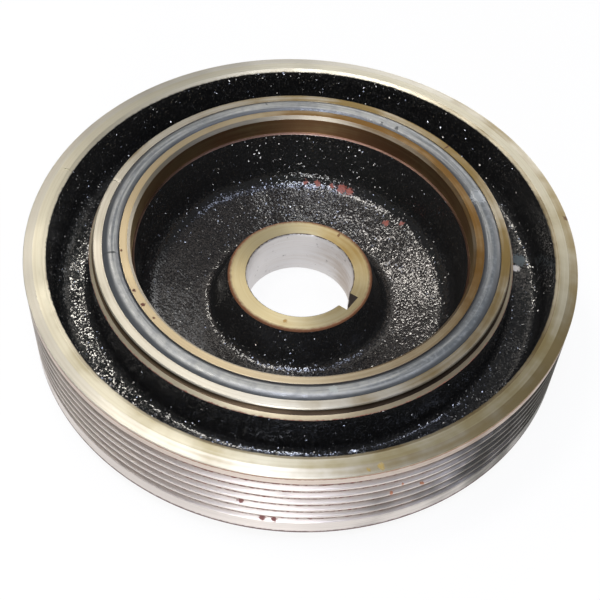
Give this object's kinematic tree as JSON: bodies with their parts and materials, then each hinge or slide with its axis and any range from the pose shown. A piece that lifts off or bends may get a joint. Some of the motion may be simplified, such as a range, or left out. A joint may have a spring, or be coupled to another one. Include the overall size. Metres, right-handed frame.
{
  "type": "harmonic balancer",
  "caption": "Rubber-bonded crankshaft pulley damper: keyed dished hub, bonded elastomer ring and cast outer ring with an open channel and a ribbed belt face.",
  "frame": {"origin": "on the axis, at the hub's back face, which is also the lowest point", "axes": "+Z along the bore, out of the open front of the dish; +X through the middle of the keyway"},
  "size_m": [0.164, 0.164, 0.0356],
  "materials": {
    "hub_iron": "black paint on the cast dish, bare turned front land, boss face and bore",
    "bonded_rubber": "moulded, dusty grey",
    "pulley_iron": "bare turned rim, sleeve and belt face, black paint in the cast channel"
  },
  "bodies": {
    "root": {"hub": "hub_iron", "rubber_ring": "bonded_rubber", "pulley_ring": "pulley_iron"}
  },
  "joints": []
}
